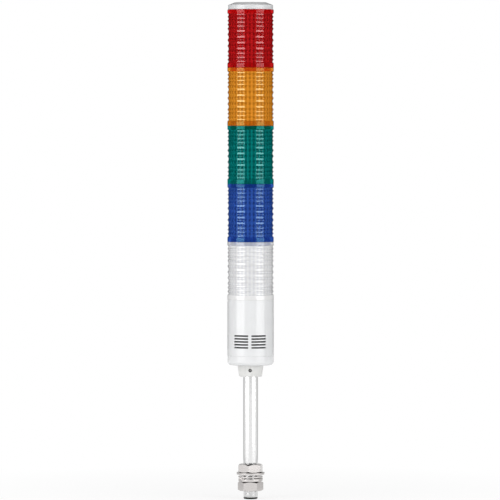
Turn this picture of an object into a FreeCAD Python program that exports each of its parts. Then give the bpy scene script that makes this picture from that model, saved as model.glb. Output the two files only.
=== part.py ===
"""Five-tier stack light with a sounder, carried on a threaded pole and clamped to a panel.

Millimetres, +Z up. The origin is on the pole's axis, in the face of the upper washer that
sits on the panel. The front, where the sounder's slots and the set screw are, looks to -Y.
"""

import FreeCAD, Part
import math
import os

import Sketcher

SIZES = {
    # panel clamp, from the panel's face down and up the thread
    "thread_turned_down": 0.3,
    "thread_below_seat": 27.9,
    "thread_above_nut": 1.5,
    "thread_chamfer": 1.0,
    "thread_clearance": 0.05,
    "panel_gap": 2.1,
    "nut_flats": 27.0,
    "nut_chamfer_drop": 1.4,
    "upper_nut_height": 10.0,
    "upper_nut_turn": 21.0,
    "lower_nut_height": 11.2,
    "washer_bore_clearance": 0.3,
    "washer_upper_outer": 34.0,
    "washer_upper_thickness": 2.5,
    "washer_lower_outer": 30.0,
    "washer_lower_thickness": 1.6,
    "spring_washer_outer": 29.6,
    "spring_washer_section": 3.2,
    "spring_washer_free_height": 5.0,
    "spring_washer_turns": 0.97,
    "spring_washer_turn": 175.0,
    # pole and grommet
    "pole_outer": 18.0,
    "pole_wall": 2.0,
    "pole_visible": 106.2,
    "grommet_flange": 1.9,
    "grommet_flange_set_back": 0.2,
    "grommet_edge_radius": 1.2,
    "grommet_plug": 8.0,
    "grommet_bore": 8.0,
    # stem adapter
    "adapter_height": 14.2,
    "adapter_lower_outer": 27.8,
    "adapter_upper_outer": 31.5,
    "adapter_chamfer": 1.0,
    "adapter_neck_outer": 24.0,
    "adapter_neck_height": 8.1,
    "adapter_stop_thickness": 2.5,
    "slip_clearance": 0.05,
    "set_screw_height": 8.0,
    "set_screw_outer": 4.0,
    "set_screw_length": 4.8,
    "set_screw_socket": 2.0,
    "set_screw_socket_depth": 2.0,
    "ring_nut_clearance": 0.3,
    "ring_nut_height": 4.0,
    "ring_nut_notch_width": 4.0,
    "ring_nut_notch_depth": 2.0,
    # housing and bottom cover
    "body_outer": 56.0,
    "body_wall": 2.2,
    "housing_height": 67.8,
    "housing_lip_height": 2.2,
    "housing_lip_step": 0.25,
    "seam_chamfer": 0.4,
    "cover_height": 11.3,
    "cover_corner_radius": 4.0,
    "cover_floor": 2.5,
    "cover_spigot_height": 4.0,
    "cover_spigot_wall": 2.1,
    "deck_thickness": 2.0,
    "deck_window": 12.0,
    "slot_width": 17.0,
    "slot_height": 1.8,
    "slot_centre_across": 10.5,
    "slot_pitch": 3.55,
    "slots_middle": 17.7,
    "screw_inset": 7.5,
    "screw_boss_outer": 6.4,
    "screw_boss_height": 10.0,
    "screw_boss_roof": 2.0,
    "screw_outer": 2.9,
    "screw_hole_clearance": 0.1,
    "screw_length": 16.0,
    "screw_head_outer": 5.6,
    "screw_head_height": 2.0,
    "screw_head_recess": 6.0,
    # joints between tiers
    "tier_pitch": 70.1,
    "joint_depth": 6.5,
    "joint_clearance": 0.1,
    "socket_wall": 2.4,
    "spigot_length": 5.5,
    "spigot_wall": 1.9,
    # lens
    "lens_wall": 3.6,
    "rib_set_back": 0.2,
    "rib_valley_set_back": 1.4,
    "rib_coarse_ratio": 1.463,
    "rib_crest_share": 0.25,
    "rib_flank_share": 0.2,
    "lens_collar_top": 4.35,
    "lens_collar_bottom": 5.65,
    "flute_depth": 0.6,
    "flute_width": 3.3,
    "flute_end_margin": 2.0,
    # tier inside
    "plate_rim_height": 5.5,
    "plate_rim_wall": 1.5,
    "plate_floor": 2.0,
    "plate_boss_height": 3.0,
    "board_width": 12.0,
    "board_wall": 1.2,
    "led_width": 5.0,
    "led_depth": 1.6,
    "led_first_height": 12.0,
    "led_below_top": 10.6,
    "connector_width": 11.0,
    # tie rods
    "rod_inset": 8.5,
    "rod_outer": 3.0,
    "rod_clearance": 0.1,
    "rod_nut_flats": 5.5,
    "rod_nut_height": 2.4,
    "rod_below_nut": 1.0,
    "rod_in_cap": 2.8,
    # cap
    "cap_set_back": 0.9,
    "cap_height": 8.8,
    "cap_side_height": 5.6,
    "cap_slope_width": 8.1,
    "cap_ceiling": 2.0,
    "cap_spigot_wall": 2.0,
    "cap_boss_outer": 6.4,
    "cap_boss_length": 4.0,
    "cap_post_outer": 10.0,
    # control board and sounder
    "control_board_clearance": 1.3,
    "circuit_board_thickness": 1.6,
    "sounder_board_clearance": 1.2,
    "sounder_board_height": 40.0,
    "rail_depth": 3.4,
    "rail_thickness": 1.5,
    "rail_clearance": 0.1,
    "rail_stop": 2.0,
    "sounder_outer": 24.0,
    "sounder_depth": 10.0,
    "sounder_hole": 5.0,
    "sounder_hole_depth": 3.0,
    "terminal_width": 40.0,
    "terminal_height": 11.0,
    "terminal_above_board_foot": 10.0,
    "terminal_depth": 9.0,
    "terminal_entry": 3.0,
    "terminal_entry_depth": 6.0,
    "terminal_pitch": 4.8,
}

TIERS = ["clear", "blue", "green", "amber", "red"]
FINE_RIBS_BELOW = 3
COARSE_RIBS = 4
FINE_RIBS_ABOVE = 4
FLUTES = 36
LEDS_UP = 4
BOARD_SIDES = 4
SLOT_ROWS = 5
RODS = 3
SCREWS = 3
TERMINALS = 8
NUT_SIDES = 6
FULL_TURN = 360.0
LEAST_CHANGE = 1e-6


class Size:
    """A length as a number, with the sheet formula that it comes from."""

    def __init__(self, value, text):
        self.value = value
        self.text = text

    def __add__(self, other):
        other = as_size(other)
        return Size(self.value + other.value, f"({self.text} + {other.text})")

    def __sub__(self, other):
        other = as_size(other)
        return Size(self.value - other.value, f"({self.text} - {other.text})")

    def __mul__(self, factor):
        factor = as_size(factor)
        return Size(self.value * factor.value, f"({self.text} * {factor.text})")

    def __truediv__(self, divisor):
        divisor = as_size(divisor)
        return Size(self.value / divisor.value, f"({self.text} / {divisor.text})")

    def __neg__(self):
        return Size(-self.value, f"(0 - {self.text})")


def as_size(number):
    return number if isinstance(number, Size) else Size(float(number), f"{number:.9g}")


class Sizes:
    """The sheet's cells by name, as in size.tier_pitch."""

    def __init__(self, sheet, values):
        for row, (alias, value) in enumerate(values.items(), start=1):
            sheet.set(f"A{row}", alias)
            sheet.set(f"B{row}", str(value))
            sheet.setAlias(f"B{row}", alias)
            setattr(self, alias, Size(value, f"{sheet.Name}.{alias}"))


doc = FreeCAD.newDocument("stack_light")
sheet = doc.addObject("Spreadsheet::Sheet", "sizes")
size = Sizes(sheet, SIZES)
doc.recompute()
zero = Size(0.0, "0")
nodes = []


# ---------------------------------------------------------------- modelling helpers

def bind(thing, path, length):
    """Ties a property to its formula in the sheet."""
    thing.setExpression(path, as_size(length).text)


def new_body(label, height=zero, turn=None):
    """A body of its own, standing at a height on the axis and turned about it."""
    body = doc.addObject("PartDesign::Body", label)
    body.Label = label
    bind(body, "Placement.Base.z", height)
    if turn is not None:
        bind(body, "Placement.Rotation.Angle", turn)
    nodes.append(body)
    return body


def new_sketch(body, role, name, offset=None):
    """A sketch on one of the body's own origin planes, or lifted off it by an offset."""
    plane = [feature for feature in body.Origin.OriginFeatures if feature.Role == role][0]
    sketch = body.newObject("Sketcher::SketchObject", f"{body.Name}_{name}")
    sketch.AttachmentSupport = [(plane, "")]
    sketch.MapMode = "FlatFace"
    if offset is not None:
        bind(sketch, "AttachmentOffset.Base.z", offset)
    return sketch


def place(sketch, geometry, point, across, up):
    """Fixes a point of the sketch at two distances from its origin."""
    for kind, length in (("DistanceX", across), ("DistanceY", up)):
        length = as_size(length)
        index = sketch.addConstraint(
            Sketcher.Constraint(kind, -1, 1, geometry, point, length.value))
        sketch.setExpression(f"Constraints[{index}]", length.text)


def arc_between(start, end, radius, left):
    """The short arc from start to end, bulging to the left or right of the way it runs."""
    chord = end - start
    half = chord.Length / 2
    side = FreeCAD.Vector(-chord.y, chord.x, 0).normalize() * (1 if left else -1)
    rise = radius - math.sqrt(max(radius * radius - half * half, 0.0))
    return Part.Arc(start, (start + end) / 2 + side * rise, end)


def end_at(sketch, geometry, corner):
    """Which end of an edge, 1 for its start and 2 for its end, lies at a corner."""
    return min((1, 2), key=lambda end: sketch.getPoint(geometry, end).distanceToPoint(corner))


def outline(sketch, points):
    """Closes a loop through points given as (across, up) formulas.

    A point may carry (radius, left) as well: the edge that arrives at it is then an arc of
    that radius, bulging to the left or right of its way.
    """
    corners = [FreeCAD.Vector(as_size(p[0]).value, as_size(p[1]).value, 0) for p in points]
    first = sketch.GeometryCount
    count = len(points)
    for i, arrival in enumerate(points):
        start, end = corners[i - 1], corners[i]
        if len(arrival) == 4:
            sketch.addGeometry(arc_between(start, end, as_size(arrival[2]).value, arrival[3]))
        else:
            sketch.addGeometry(Part.LineSegment(start, end))
    for i, arrival in enumerate(points):
        edge, next_edge = first + i, first + (i + 1) % count
        next_end = end_at(sketch, next_edge, corners[i])
        sketch.addConstraint(Sketcher.Constraint(
            "Coincident", edge, end_at(sketch, edge, corners[i]), next_edge, next_end))
        place(sketch, next_edge, next_end, arrival[0], arrival[1])
        if len(arrival) == 4:
            set_radius(sketch, edge, arrival[2])


def set_radius(sketch, geometry, radius):
    radius = as_size(radius)
    index = sketch.addConstraint(Sketcher.Constraint("Radius", geometry, radius.value))
    sketch.setExpression(f"Constraints[{index}]", radius.text)


def circle(sketch, across, up, radius):
    across, up, radius = as_size(across), as_size(up), as_size(radius)
    centre = FreeCAD.Vector(across.value, up.value, 0)
    index = sketch.addGeometry(Part.Circle(centre, FreeCAD.Vector(0, 0, 1), radius.value))
    middle_point = 3  # a circle's own name for its centre
    place(sketch, index, middle_point, across, up)
    set_radius(sketch, index, radius)


def rectangle(sketch, left, low, right, high):
    outline(sketch, [(left, low), (right, low), (right, high), (left, high)])


def feature(body, kind, name, sketch, length=None, reversed_way=False):
    """A feature made from a sketch; what it adds or cuts away has to show in the volume."""
    doc.recompute()
    before = body.Shape.Volume if not body.Shape.isNull() else 0.0
    item = body.newObject(f"PartDesign::{kind}", f"{body.Name}_{name}")
    item.Profile = sketch
    item.Reversed = reversed_way
    if length is not None:
        bind(item, "Length", length)
    if kind in ("Revolution", "Groove"):
        item.ReferenceAxis = (sketch, ["V_Axis"])
        item.Angle = FULL_TURN
    doc.recompute()
    grew = body.Shape.Volume > before
    if grew != (kind in ("Revolution", "Pad")):
        raise RuntimeError(f"{item.Name} changed nothing or the wrong way")
    return item


def around(body, name, originals, count):
    """Repeats features evenly around the body's upright axis."""
    axis = [item for item in body.Origin.OriginFeatures if item.Role == "Z_Axis"][0]
    before = body.Shape.Volume
    pattern = body.newObject("PartDesign::PolarPattern", f"{body.Name}_{name}")
    pattern.Originals = originals
    pattern.Axis = (axis, [""])
    pattern.Angle = FULL_TURN
    pattern.Occurrences = count
    body.Tip = pattern
    doc.recompute()
    if abs(body.Shape.Volume - before) < LEAST_CHANGE:
        raise RuntimeError(f"{pattern.Name} changed nothing")
    return pattern


def lathe(label, points, height=zero):
    """A turned piece: its half section spun round the axis."""
    body = new_body(label, height)
    sketch = new_sketch(body, "XZ_Plane", "section")
    outline(sketch, points)
    feature(body, "Revolution", "turned", sketch)
    return body


def ring(label, inner, outer, thickness, height):
    return lathe(label, [(inner, zero), (outer, zero), (outer, thickness), (inner, thickness)], height)


def block(label, left, front, right, back, low, high, height=zero):
    """A plain rectangular piece."""
    body = new_body(label, height)
    sketch = new_sketch(body, "XY_Plane", "plan", low)
    rectangle(sketch, left, front, right, back)
    feature(body, "Pad", "block", sketch, high - low)
    return body


def hexagon(sketch, flats, count=NUT_SIDES):
    """A regular outline measured across its flats, with a corner at the sides."""
    reach = flats / (2 * math.cos(math.pi / count))
    turns = [2 * math.pi * i / count for i in range(count)]
    outline(sketch, [(reach * math.cos(turn), reach * math.sin(turn)) for turn in turns])


# ---------------------------------------------------------------- heights on the axis

seat = zero
nut_top = size.washer_upper_thickness + size.upper_nut_height
adapter_base = nut_top + size.pole_visible
cover_base = adapter_base + size.adapter_height
seam = cover_base + size.cover_height
housing_top = seam + size.housing_height
tier_base = [housing_top + size.tier_pitch * i for i in range(len(TIERS) + 1)]
cap_base = tier_base[-1]
pole_radius = size.pole_outer / 2
thread_radius = pole_radius - size.thread_turned_down
body_radius = size.body_outer / 2
socket_radius = body_radius - size.socket_wall
spigot_radius = socket_radius - size.joint_clearance
spigot_inner = spigot_radius - size.spigot_wall
lens_inner = body_radius - size.lens_wall
rod_place = body_radius - size.rod_inset
screw_place = body_radius - size.screw_inset
deck_top = size.housing_height - size.joint_depth
deck_under = deck_top - size.deck_thickness


# ---------------------------------------------------------------- panel clamp

def hex_nut(label, thickness, height, turn=None):
    """Hex nut, its corners turned off at both ends and its bore run on the thread."""
    body = new_body(label, height, turn)
    plan = new_sketch(body, "XY_Plane", "plan")
    hexagon(plan, size.nut_flats)
    bore = thread_radius + size.thread_clearance
    circle(plan, zero, zero, bore)
    feature(body, "Pad", "prism", plan, thickness)
    inner = size.nut_flats / 2 - size.thread_clearance
    beyond = size.nut_flats / 2 + size.nut_chamfer_drop * 2
    drop = size.nut_chamfer_drop
    for name, end, way in (("top", thickness, drop), ("bottom", zero, -drop)):
        corner = new_sketch(body, "XZ_Plane", f"{name}_corner")
        outline(corner, [(inner, end + way), (inner, end), (beyond, end - way), (beyond, end + way)])
        feature(body, "Groove", f"{name}_chamfer", corner)
    return body


def washer(label, outer, thickness, height):
    return ring(label, thread_radius + size.washer_bore_clearance, outer / 2, thickness, height)


washer("flat_washer_upper", size.washer_upper_outer, size.washer_upper_thickness, seat)
hex_nut("upper_nut", size.upper_nut_height, size.washer_upper_thickness, size.upper_nut_turn)
lower_washer_base = -(size.panel_gap + size.washer_lower_thickness)
washer("flat_washer_lower", size.washer_lower_outer, size.washer_lower_thickness, lower_washer_base)

# split lock washer: a square-section bar wound almost once round the thread
spring_base = lower_washer_base - size.spring_washer_free_height
spring = new_body("spring_washer", spring_base, size.spring_washer_turn)
bar = new_sketch(spring, "XZ_Plane", "bar")
rectangle(bar, thread_radius + size.washer_bore_clearance, zero,
          size.spring_washer_outer / 2, size.spring_washer_section)
doc.recompute()
coil = spring.newObject("PartDesign::AdditiveHelix", "spring_washer_coil")
coil.Profile = bar
coil.ReferenceAxis = (bar, ["V_Axis"])
coil.Mode = "height-turns-angle"
bind(coil, "Height", size.spring_washer_free_height - size.spring_washer_section)
bind(coil, "Turns", size.spring_washer_turns)
doc.recompute()

lower_nut_base = spring_base - size.lower_nut_height
hex_nut("lower_nut", size.lower_nut_height, lower_nut_base)


# ---------------------------------------------------------------- pole and grommet

pole_bore_radius = pole_radius - size.pole_wall
thread_end = -size.thread_below_seat
thread_start = nut_top + size.thread_above_nut
neck_top = size.adapter_height + size.adapter_neck_height
adapter_stop = neck_top - size.adapter_stop_thickness
pole_top = adapter_base + adapter_stop
lathe("pole", [
    (pole_bore_radius, thread_end),
    (thread_radius - size.thread_chamfer, thread_end),
    (thread_radius, thread_end + size.thread_chamfer),
    (thread_radius, thread_start),
    (pole_radius, thread_start),
    (pole_radius, pole_top),
    (pole_bore_radius, pole_top),
])

# push-in rubber bush: its flange caps the pole's end and its bore lets the lead out
flange_radius = thread_radius - size.grommet_flange_set_back
edge = size.grommet_edge_radius
plug_radius = pole_bore_radius - size.slip_clearance
lathe("end_grommet", [
    (size.grommet_bore / 2, zero),
    (flange_radius - edge, zero),
    (flange_radius, edge, edge, False),
    (flange_radius, size.grommet_flange),
    (plug_radius, size.grommet_flange),
    (plug_radius, size.grommet_flange + size.grommet_plug),
    (size.grommet_bore / 2, size.grommet_flange + size.grommet_plug),
], thread_end - size.grommet_flange)


# ---------------------------------------------------------------- stem adapter

adapter_bore = pole_radius + size.slip_clearance
neck_radius = size.adapter_neck_outer / 2
adapter = lathe("stem_adapter", [
    (adapter_bore, zero),
    (size.adapter_lower_outer / 2 - size.adapter_chamfer, zero),
    (size.adapter_lower_outer / 2, size.adapter_chamfer),
    (size.adapter_upper_outer / 2, size.adapter_height),
    (neck_radius, size.adapter_height),
    (neck_radius, neck_top),
    (pole_bore_radius, neck_top),
    (pole_bore_radius, adapter_stop),
    (adapter_bore, adapter_stop),
], adapter_base)
screw_hole = new_sketch(adapter, "XZ_Plane", "screw_hole")
set_screw_hole_radius = size.set_screw_outer / 2 + size.slip_clearance
circle(screw_hole, zero, size.set_screw_height, set_screw_hole_radius)
feature(adapter, "Pocket", "screw_hole_cut", screw_hole, size.adapter_upper_outer, True)

# socket set screw: it lies along the front of the bore and its tip bears on the pole
set_screw = new_body("set_screw", adapter_base + size.set_screw_height)
shank = new_sketch(set_screw, "XZ_Plane", "shank", pole_radius + size.slip_clearance / 2)
circle(shank, zero, zero, size.set_screw_outer / 2)
feature(set_screw, "Pad", "shank_bar", shank, size.set_screw_length)
socket_face = pole_radius + size.slip_clearance / 2 + size.set_screw_length
socket = new_sketch(set_screw, "XZ_Plane", "socket", socket_face)
hexagon(socket, size.set_screw_socket)
feature(set_screw, "Pocket", "socket_cut", socket, size.set_screw_socket_depth)

# ring nut inside the cover, with four notches for its spanner
boss_radius = size.screw_boss_outer / 2
ring_nut_radius = screw_place - boss_radius - size.ring_nut_clearance
ring_nut = ring("adapter_ring_nut", neck_radius + size.slip_clearance, ring_nut_radius,
                size.ring_nut_height, cover_base + size.cover_floor)
notch = new_sketch(ring_nut, "XY_Plane", "notch")
notch_half = size.ring_nut_notch_width / 2
rectangle(notch, -notch_half, ring_nut_radius - size.ring_nut_notch_depth,
          notch_half, ring_nut_radius + size.ring_nut_notch_depth)
notch_cut = feature(ring_nut, "Pocket", "notch_cut", notch, size.ring_nut_height, True)
around(ring_nut, "notches", [notch_cut], BOARD_SIDES)


# ---------------------------------------------------------------- bottom cover and its screws

cover_inner = body_radius - size.body_wall - size.joint_clearance - size.cover_spigot_wall
cover_spigot = body_radius - size.body_wall - size.joint_clearance
corner = size.cover_corner_radius
spigot_top = size.cover_height + size.cover_spigot_height
cover = lathe("bottom_cover", [
    (neck_radius + size.joint_clearance, zero),
    (body_radius - corner, zero),
    (body_radius, corner, corner, False),
    (body_radius, size.cover_height - size.seam_chamfer),
    (body_radius - size.seam_chamfer, size.cover_height),
    (cover_spigot, size.cover_height),
    (cover_spigot, spigot_top),
    (cover_inner, spigot_top),
    (cover_inner, size.cover_floor),
    (neck_radius + size.joint_clearance, size.cover_floor),
], cover_base)

screw_boss_base = size.cover_spigot_height + size.joint_clearance
pillar = new_sketch(cover, "XY_Plane", "pillar", size.cover_floor)
circle(pillar, zero, screw_place, boss_radius)
pillar_pad = feature(cover, "Pad", "pillar_pad", pillar,
                     size.cover_height + screw_boss_base - size.cover_floor)
around(cover, "pillars", [pillar_pad], SCREWS)
screw_way = new_sketch(cover, "XY_Plane", "screw_way")
circle(screw_way, zero, screw_place, size.screw_outer / 2 + size.screw_hole_clearance)
way_cut = feature(cover, "Pocket", "screw_way_cut", screw_way,
                  size.cover_height + size.screw_boss_height, True)
around(cover, "screw_ways", [way_cut], SCREWS)
head_recess = new_sketch(cover, "XY_Plane", "head_recess")
circle(head_recess, zero, screw_place, size.screw_head_outer / 2 + size.screw_hole_clearance)
recess_cut = feature(cover, "Pocket", "head_recess_cut", head_recess, size.screw_head_recess, True)
around(cover, "head_recesses", [recess_cut], SCREWS)

# pan-head screws from below, through the pillars into the housing's bosses
screws = new_body("cover_screws", cover_base)
head = new_sketch(screws, "XY_Plane", "head", size.screw_head_recess - size.screw_head_height)
circle(head, zero, screw_place, size.screw_head_outer / 2)
head_pad = feature(screws, "Pad", "head_pad", head, size.screw_head_height)
thread = new_sketch(screws, "XY_Plane", "thread", size.screw_head_recess)
circle(thread, zero, screw_place, size.screw_outer / 2)
thread_pad = feature(screws, "Pad", "thread_pad", thread, size.screw_length)
around(screws, "set", [head_pad, thread_pad], SCREWS)


# ---------------------------------------------------------------- sounder housing

wall_inner = body_radius - size.body_wall
lip_radius = body_radius - size.housing_lip_step
lip_base = size.housing_height - size.housing_lip_height
housing = lathe("sounder_housing", [
    (zero, deck_under),
    (wall_inner, deck_under),
    (wall_inner, zero),
    (body_radius - size.seam_chamfer, zero),
    (body_radius, size.seam_chamfer),
    (body_radius, lip_base),
    (lip_radius, lip_base + size.housing_lip_step),
    (lip_radius, size.housing_height),
    (socket_radius, size.housing_height),
    (socket_radius, deck_top),
    (zero, deck_top),
], seam)

window = new_sketch(housing, "XY_Plane", "window", deck_under)
half_window = size.deck_window / 2
rectangle(window, -half_window, -half_window, half_window, half_window)
feature(housing, "Pocket", "window_cut", window, size.deck_thickness, True)
rod_hole_radius = size.rod_outer / 2 + size.rod_clearance


def rod_holes(body, low, depth):
    """Three holes on the tie rods' circle."""
    hole = new_sketch(body, "XY_Plane", "rod_hole", low)
    circle(hole, zero, rod_place, rod_hole_radius)
    cut = feature(body, "Pocket", "rod_hole_cut", hole, depth, True)
    around(body, "rod_holes", [cut], RODS)


rod_holes(housing, deck_under, size.deck_thickness)

# two columns of sound slots, cut straight back through the front wall
slots = new_sketch(housing, "XZ_Plane", "slots")
for row in range(SLOT_ROWS):
    middle = size.slots_middle + size.slot_pitch * (row - (SLOT_ROWS - 1) / 2)
    for side in (-1, 1):
        across = size.slot_centre_across * side
        rectangle(slots, across - size.slot_width / 2, middle - size.slot_height / 2,
                  across + size.slot_width / 2, middle + size.slot_height / 2)
feature(housing, "Pocket", "slots_cut", slots, size.body_outer, True)

# screw bosses, each webbed to the wall
boss = new_sketch(housing, "XY_Plane", "boss", screw_boss_base)
circle(boss, zero, screw_place, boss_radius)
boss_pad = feature(housing, "Pad", "boss_pad", boss, size.screw_boss_height)
web = new_sketch(housing, "XY_Plane", "web", screw_boss_base)
rectangle(web, -boss_radius, screw_place, boss_radius, wall_inner + size.body_wall / 2)
web_pad = feature(housing, "Pad", "web_pad", web, size.screw_boss_height)
around(housing, "bosses", [boss_pad, web_pad], SCREWS)
pilot = new_sketch(housing, "XY_Plane", "pilot", screw_boss_base)
circle(pilot, zero, screw_place, size.screw_outer / 2 + size.slip_clearance)
pilot_cut = feature(housing, "Pocket", "pilot_cut", pilot,
                    size.screw_boss_height - size.screw_boss_roof, True)
around(housing, "pilots", [pilot_cut], SCREWS)

# upright rails that the sounder's board slides up between, each closed by a stop
board_half = size.circuit_board_thickness / 2
rail_face = board_half + size.rail_clearance
rail_inner = wall_inner - size.rail_depth
rail_top = spigot_top - size.cover_height + size.sounder_board_height
for side, name in ((-1, "left"), (1, "right")):
    rails = new_sketch(housing, "XY_Plane", f"{name}_rails", screw_boss_base)
    for way in (-1, 1):
        near, far = rail_face * way, (rail_face + size.rail_thickness) * way
        near, far = (near, far) if way > 0 else (far, near)
        left, right = rail_inner * side, (wall_inner + size.body_wall / 2) * side
        left, right = (left, right) if side > 0 else (right, left)
        rectangle(rails, left, near, right, far)
    feature(housing, "Pad", f"{name}_rail_pad", rails, rail_top - screw_boss_base)
    stop = new_sketch(housing, "XY_Plane", f"{name}_stop", rail_top)
    reach = rail_face + size.rail_thickness
    rectangle(stop, left, -reach, right, reach)
    feature(housing, "Pad", f"{name}_stop_pad", stop, size.rail_stop)


# ---------------------------------------------------------------- boards and sounder

control_board = new_body("control_board", seam + deck_under - size.circuit_board_thickness)
disc = new_sketch(control_board, "XY_Plane", "disc")
circle(disc, zero, zero, wall_inner - size.control_board_clearance)
feature(control_board, "Pad", "disc_pad", disc, size.circuit_board_thickness)
rod_holes(control_board, zero, size.circuit_board_thickness)

sounder_board_base = cover_base + spigot_top
half_board = wall_inner - size.sounder_board_clearance
sounder_board = block("sounder_board", -half_board, -board_half, half_board, board_half,
                      zero, size.sounder_board_height, sounder_board_base)

# round sounder on the board's front, behind the slots
sounder = new_body("sounder", seam + size.slots_middle)
can = new_sketch(sounder, "XZ_Plane", "can", board_half)
circle(can, zero, zero, size.sounder_outer / 2)
feature(sounder, "Pad", "can_pad", can, size.sounder_depth)
mouth = new_sketch(sounder, "XZ_Plane", "mouth", board_half + size.sounder_depth)
circle(mouth, zero, zero, size.sounder_hole / 2)
feature(sounder, "Pocket", "mouth_cut", mouth, size.sounder_hole_depth)

# screw terminals for the lead, on the board's back
terminal = block("terminal_block", -size.terminal_width / 2, board_half,
                 size.terminal_width / 2, board_half + size.terminal_depth,
                 zero, size.terminal_height, sounder_board_base + size.terminal_above_board_foot)
entries = new_sketch(terminal, "XZ_Plane", "entries", -(board_half + size.terminal_depth))
half_entry = size.terminal_entry / 2
for i in range(TERMINALS):
    across = size.terminal_pitch * (i - (TERMINALS - 1) / 2)
    rectangle(entries, across - half_entry, size.terminal_height / 2 - half_entry,
              across + half_entry, size.terminal_height / 2 + half_entry)
feature(terminal, "Pocket", "entries_cut", entries, size.terminal_entry_depth, True)


# ---------------------------------------------------------------- tiers

def lens_section():
    """Half section of a lens: spigot, ribbed wall with its two collars, and socket."""
    ribbed = size.tier_pitch - size.lens_collar_top - size.lens_collar_bottom
    half_crest = size.rib_crest_share / 2
    pitches = size.rib_coarse_ratio * COARSE_RIBS + FINE_RIBS_BELOW + FINE_RIBS_ABOVE
    fine = ribbed / (pitches - half_crest * 2)
    coarse = fine * size.rib_coarse_ratio
    rib_radius = body_radius - size.rib_set_back
    valley_radius = body_radius - size.rib_valley_set_back
    points = [
        (spigot_inner, -size.spigot_length),
        (spigot_radius, -size.spigot_length),
        (spigot_radius, zero),
        (body_radius, zero),
        (body_radius, size.lens_collar_bottom),
    ]
    ribs = []
    rib = size.lens_collar_bottom - fine * half_crest
    for pitch in [fine] * FINE_RIBS_BELOW + [coarse] * COARSE_RIBS + [fine] * FINE_RIBS_ABOVE:
        crest, flank = pitch * half_crest, pitch * size.rib_flank_share
        ribs.append((rib_radius, rib + crest))
        ribs.append((valley_radius, rib + crest + flank))
        rib = rib + pitch
        ribs.append((valley_radius, rib - crest - flank))
        ribs.append((rib_radius, rib - crest))
    points += ribs[1:-1]  # the collars' own edges stand for the outermost crests
    socket_floor = size.tier_pitch - size.joint_depth
    points += [
        (body_radius, size.tier_pitch - size.lens_collar_top),
        (body_radius, size.tier_pitch),
        (socket_radius, size.tier_pitch),
        (socket_radius, socket_floor),
        (lens_inner, socket_floor),
        (lens_inner, zero),
        (spigot_inner, zero),
    ]
    return points


def lens(colour, base):
    """Moulded lens, ribbed outside and fluted inside."""
    body = lathe(f"lens_{colour}", lens_section(), base)
    flute_base = size.plate_rim_height + size.flute_end_margin
    flute = new_sketch(body, "XY_Plane", "flute", flute_base)
    half = size.flute_width / 2
    outline(flute, [(-half, lens_inner - size.flute_depth), (half, lens_inner - size.flute_depth),
                    (half, lens_inner - size.joint_clearance), (zero, lens_inner + size.flute_depth),
                    (-half, lens_inner - size.joint_clearance)])
    length = size.tier_pitch - size.joint_depth - size.flute_end_margin - flute_base
    cut = feature(body, "Pocket", "flute_cut", flute, length, True)
    around(body, "flutes", [cut], FLUTES)
    return body


def tier_plate(colour, base):
    """Round moulding on the lens's inner ledge: a rim, rod holes and a boss for the board."""
    rim = lens_inner - size.joint_clearance
    body = lathe(f"tier_plate_{colour}", [
        (zero, zero),
        (rim, zero),
        (rim, size.plate_rim_height),
        (rim - size.plate_rim_wall, size.plate_rim_height),
        (rim - size.plate_rim_wall, size.plate_floor),
        (zero, size.plate_floor),
    ], base)
    boss = new_sketch(body, "XY_Plane", "boss", size.plate_floor)
    half = size.board_width / 2 - size.board_wall - size.joint_clearance
    rectangle(boss, -half, -half, half, half)
    feature(body, "Pad", "boss_pad", boss, size.plate_boss_height)
    rod_holes(body, zero, size.plate_floor)
    return body


def led_board(colour, base):
    """Board folded into a square column, standing on the plate's boss."""
    body = new_body(f"led_board_{colour}", base)
    plan = new_sketch(body, "XY_Plane", "plan", size.plate_floor)
    outer = size.board_width / 2
    inner = outer - size.board_wall
    rectangle(plan, -outer, -outer, outer, outer)
    rectangle(plan, -inner, -inner, inner, inner)
    height = size.tier_pitch - size.joint_depth - size.plate_floor
    feature(body, "Pad", "column", plan, height)
    return body


def leds(colour, base):
    """Square LED packages in a row up each side of the column."""
    body = new_body(f"leds_{colour}", base)
    half = size.led_width / 2
    column = size.tier_pitch - size.joint_depth - size.plate_floor
    pitch = (column - size.led_first_height - size.led_below_top) / (LEDS_UP - 1)
    pads = []
    for i in range(LEDS_UP):
        middle = size.plate_floor + size.led_first_height + pitch * i
        chip = new_sketch(body, "XZ_Plane", f"chip_{i}", size.board_width / 2)
        rectangle(chip, -half, middle - half, half, middle + half)
        pads.append(feature(body, "Pad", f"chip_pad_{i}", chip, size.led_depth))
    around(body, "sides", pads, BOARD_SIDES)
    return body


def stack_connector(colour, low, base):
    """Connector from a tier's plate down to the column or board below it."""
    half = size.connector_width / 2
    return block(f"stack_connector_{colour}", -half, -half, half, half, low, zero, base)


def seal(name, base):
    """Flat ring on the socket's ledge, pressed by the spigot above."""
    thickness = size.joint_depth - size.spigot_length
    inner = lens_inner + size.joint_clearance
    return ring(f"seal_{name}", inner, socket_radius - size.joint_clearance, thickness,
                base - size.joint_depth)


for i, colour in enumerate(TIERS):
    lens(colour, tier_base[i])
    tier_plate(colour, tier_base[i])
    led_board(colour, tier_base[i])
    leds(colour, tier_base[i])
    drop = size.joint_depth + size.deck_thickness if i == 0 else size.joint_depth
    stack_connector(colour, -drop, tier_base[i])
    seal(colour, tier_base[i])
seal("cap", cap_base)


# ---------------------------------------------------------------- top cap and tie rods

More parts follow.
